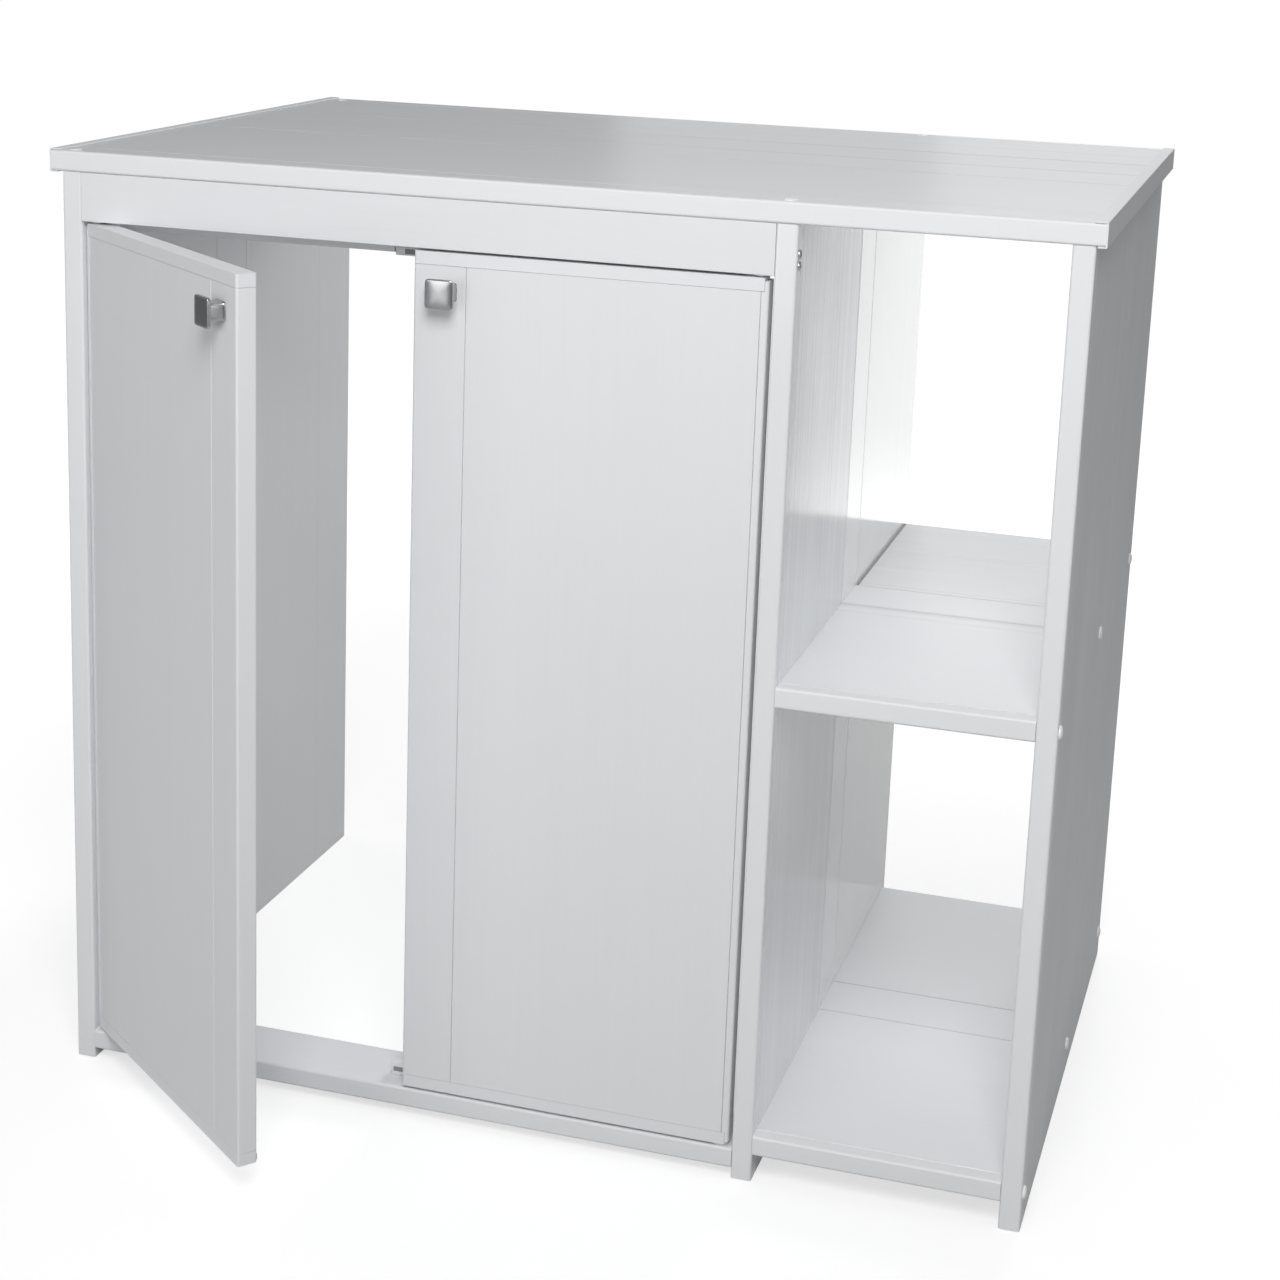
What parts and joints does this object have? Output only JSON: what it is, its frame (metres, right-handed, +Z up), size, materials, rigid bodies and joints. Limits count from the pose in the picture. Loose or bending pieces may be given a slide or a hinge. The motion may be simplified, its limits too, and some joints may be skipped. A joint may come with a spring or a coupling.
{
  "type": "washing machine cabinet",
  "caption": "White hollow-profile cabinet with a two-door bay for a washing machine, an open side bay with shelves, and a flat worktop.",
  "frame": {"origin": "centre of the bottom of the whole cabinet with its left door open as in the picture, on the floor", "axes": "+X towards the open side bay, +Y towards the wall behind, +Z up; the doors face -Y"},
  "size_m": [0.997, 0.8682, 0.9402],
  "materials": {
    "white_plastic": "semi-gloss extruded white plastic with fine lines along its length",
    "edge_plastic": "semi-gloss white edge profile with rounded corners",
    "cap_plastic": "moulded semi-gloss white plastic",
    "satin_chrome": "satin chrome",
    "zinc_steel": "zinc-plated steel",
    "dark_magnet": "dark grey ferrite"
  },
  "bodies": {
    "carcass": {"left_panel_front_edge": "edge_plastic", "left_panel_front_board": "white_plastic", "left_panel_joining_strip": "white_plastic", "left_panel_rear_board": "white_plastic", "partition_front_edge": "edge_plastic", "partition_front_board": "white_plastic", "partition_joining_strip": "white_plastic", "partition_rear_board": "white_plastic", "right_panel_front_edge": "edge_plastic", "right_panel_front_board": "white_plastic", "right_panel_joining_strip": "white_plastic", "right_panel_rear_board": "white_plastic", "mid_shelf_front_edge": "edge_plastic", "mid_shelf_front_board": "white_plastic", "mid_shelf_joining_strip": "white_plastic", "mid_shelf_rear_board": "white_plastic", "bottom_shelf_front_edge": "edge_plastic", "bottom_shelf_front_board": "white_plastic", "bottom_shelf_joining_strip": "white_plastic", "bottom_shelf_rear_board": "white_plastic", "worktop_front_edge": "edge_plastic", "worktop_rear_edge": "edge_plastic", "worktop_front_board": "white_plastic", "worktop_middle_board": "white_plastic", "worktop_rear_board": "white_plastic", "worktop_left_end_cap": "cap_plastic", "worktop_right_end_cap": "cap_plastic", "top_rail": "white_plastic", "bottom_rail": "white_plastic", "door_stop_strip": "edge_plastic", "left_hinge_top_bush": "cap_plastic", "left_hinge_bottom_bush": "cap_plastic", "right_hinge_top_bush": "cap_plastic", "right_hinge_bottom_bush": "cap_plastic", "top_catch": "cap_plastic", "bottom_catch": "cap_plastic", "top_magnet": "dark_magnet", "bottom_magnet": "dark_magnet"},
    "left_door": {"left_door_stile": "edge_plastic", "left_door_board": "white_plastic", "left_door_hinge_edge": "edge_plastic", "left_door_top_cap": "edge_plastic", "left_door_bottom_cap": "edge_plastic", "left_door_knob": "satin_chrome", "left_door_knob_screw": "zinc_steel", "left_door_top_pin": "zinc_steel", "left_door_bottom_pin": "zinc_steel", "left_door_top_strike": "zinc_steel", "left_door_bottom_strike": "zinc_steel"},
    "right_door": {"right_door_stile": "edge_plastic", "right_door_board": "white_plastic", "right_door_hinge_edge": "edge_plastic", "right_door_top_cap": "edge_plastic", "right_door_bottom_cap": "edge_plastic", "right_door_knob": "satin_chrome", "right_door_knob_screw": "zinc_steel", "right_door_top_pin": "zinc_steel", "right_door_bottom_pin": "zinc_steel", "right_door_top_strike": "zinc_steel", "right_door_bottom_strike": "zinc_steel"}
  },
  "joints": [
    {"name": "left_door_hinge", "type": "hinge", "parent": "carcass", "child": "left_door", "pos_m": [-0.4535, -0.21846, 0.45], "axis": [0, 0, -1], "range_deg": [-39, 66]},
    {"name": "right_door_hinge", "type": "hinge", "parent": "carcass", "child": "right_door", "pos_m": [0.2005, -0.21846, 0.45], "axis": [0, 0, 1], "range_deg": [0, 105]}
  ]
}
